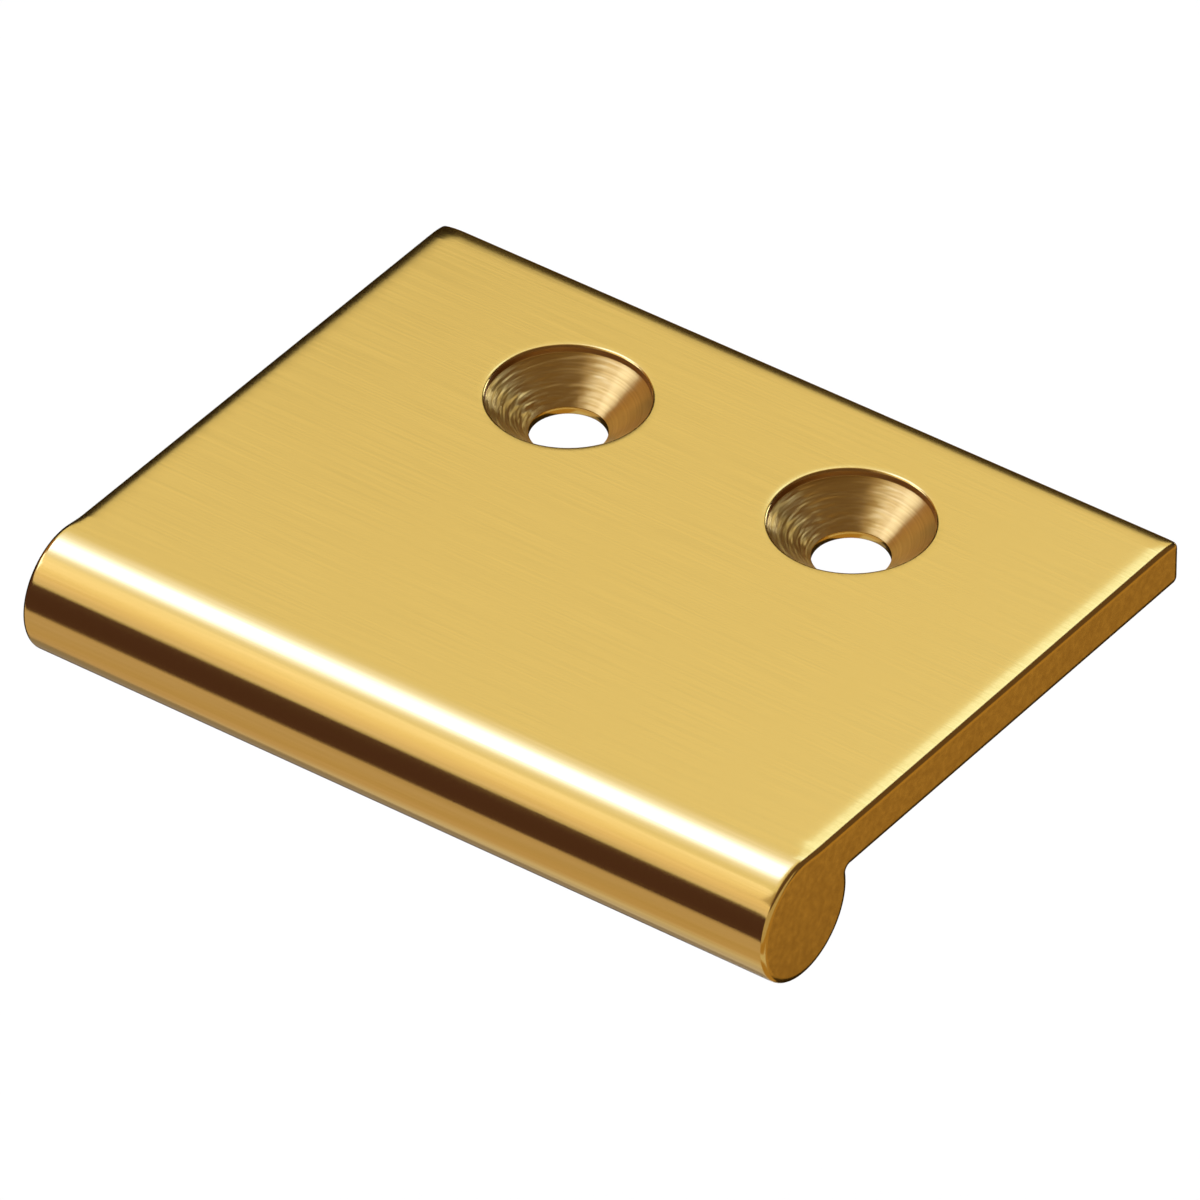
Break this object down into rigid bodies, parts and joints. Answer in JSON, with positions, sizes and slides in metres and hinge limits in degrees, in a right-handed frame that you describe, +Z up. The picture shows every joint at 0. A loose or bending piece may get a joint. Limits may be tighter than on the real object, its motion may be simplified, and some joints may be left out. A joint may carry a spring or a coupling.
{
  "type": "edge pull",
  "caption": "Flat brass plate with a round finger bead along its front edge and countersunk screw holes near the back: a pull that screws to the edge of a drawer front or cabinet door.",
  "frame": {"origin": "on the plate's underside, where it sits on the panel, midway between the screw holes", "axes": "+X along the bead, +Y from the bead to the plate's back edge, +Z up out of the plate's visible face"},
  "size_m": [0.0508, 0.0396, 0.0079],
  "materials": {
    "brushed_brass": "satin, brushed along the bead",
    "polished_brass": "polished"
  },
  "bodies": {
    "root": {"mounting_plate": "brushed_brass", "finger_bead": "polished_brass"}
  },
  "joints": []
}
